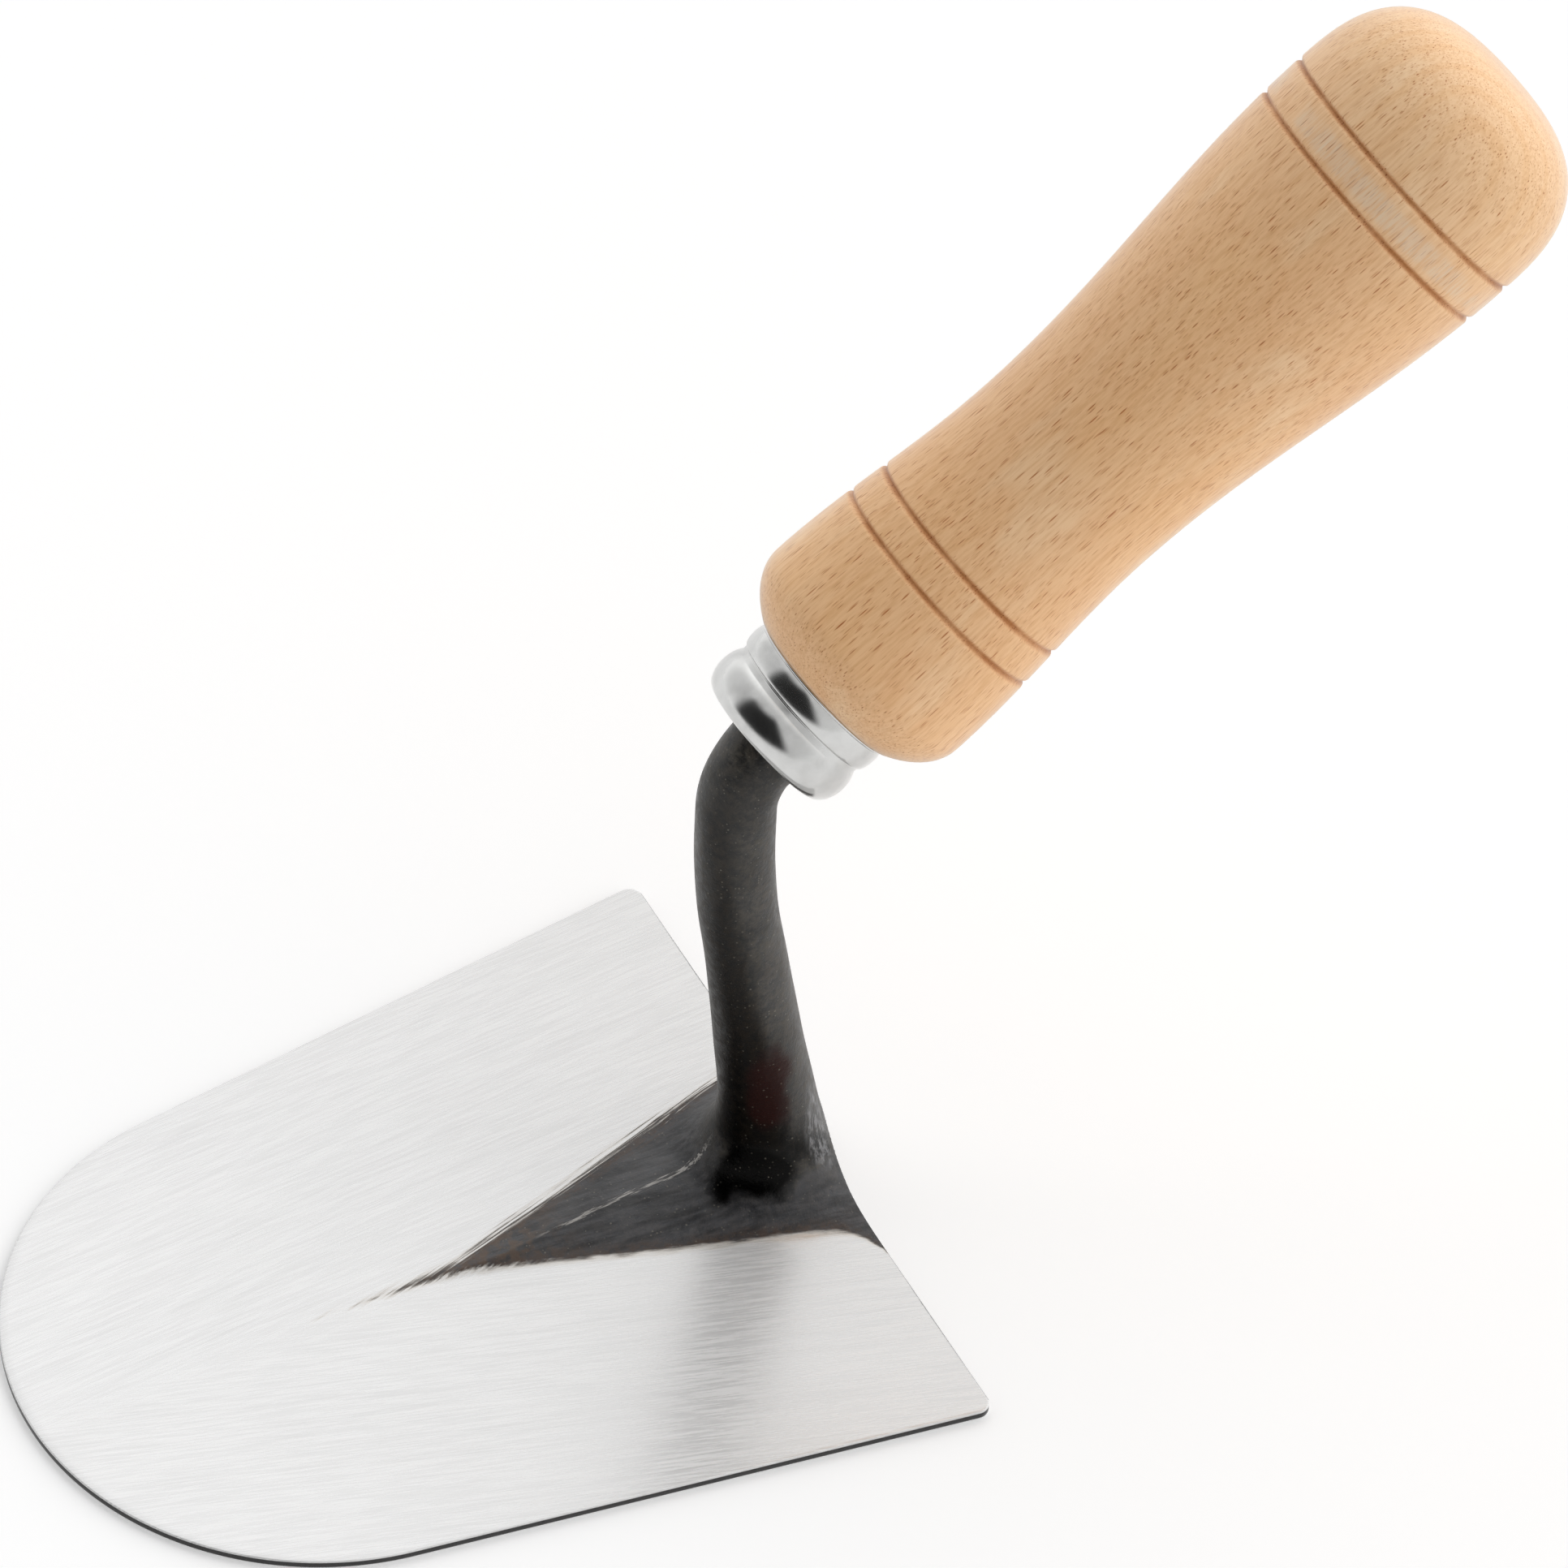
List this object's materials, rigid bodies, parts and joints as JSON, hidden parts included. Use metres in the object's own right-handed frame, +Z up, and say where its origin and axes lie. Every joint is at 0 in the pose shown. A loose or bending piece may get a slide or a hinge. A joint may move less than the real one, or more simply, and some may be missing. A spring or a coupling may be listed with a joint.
{
  "type": "round-nosed gauging trowel",
  "caption": "One-piece forged trowel with a flat round-nosed blade, an upright neck, a rolled steel ferrule and a turned beech handle.",
  "frame": {"origin": "on the flat underside of the blade, under the foot of the neck, 9 mm in front of the straight heel edge", "axes": "+X from the round nose towards the handle, +Y across the blade, +Z up out of the blade's underside"},
  "size_m": [0.2218, 0.1074, 0.1783],
  "materials": {
    "forged_steel": "ground satin blade with fine lengthwise scratches; spine and neck in satin black lacquer",
    "plated_steel": "bright plated",
    "beech": "turned and sanded beech, satin, with scorched V grooves"
  },
  "bodies": {
    "root": {"forged_blade": "forged_steel", "ferrule": "plated_steel", "handle": "beech"}
  },
  "joints": []
}
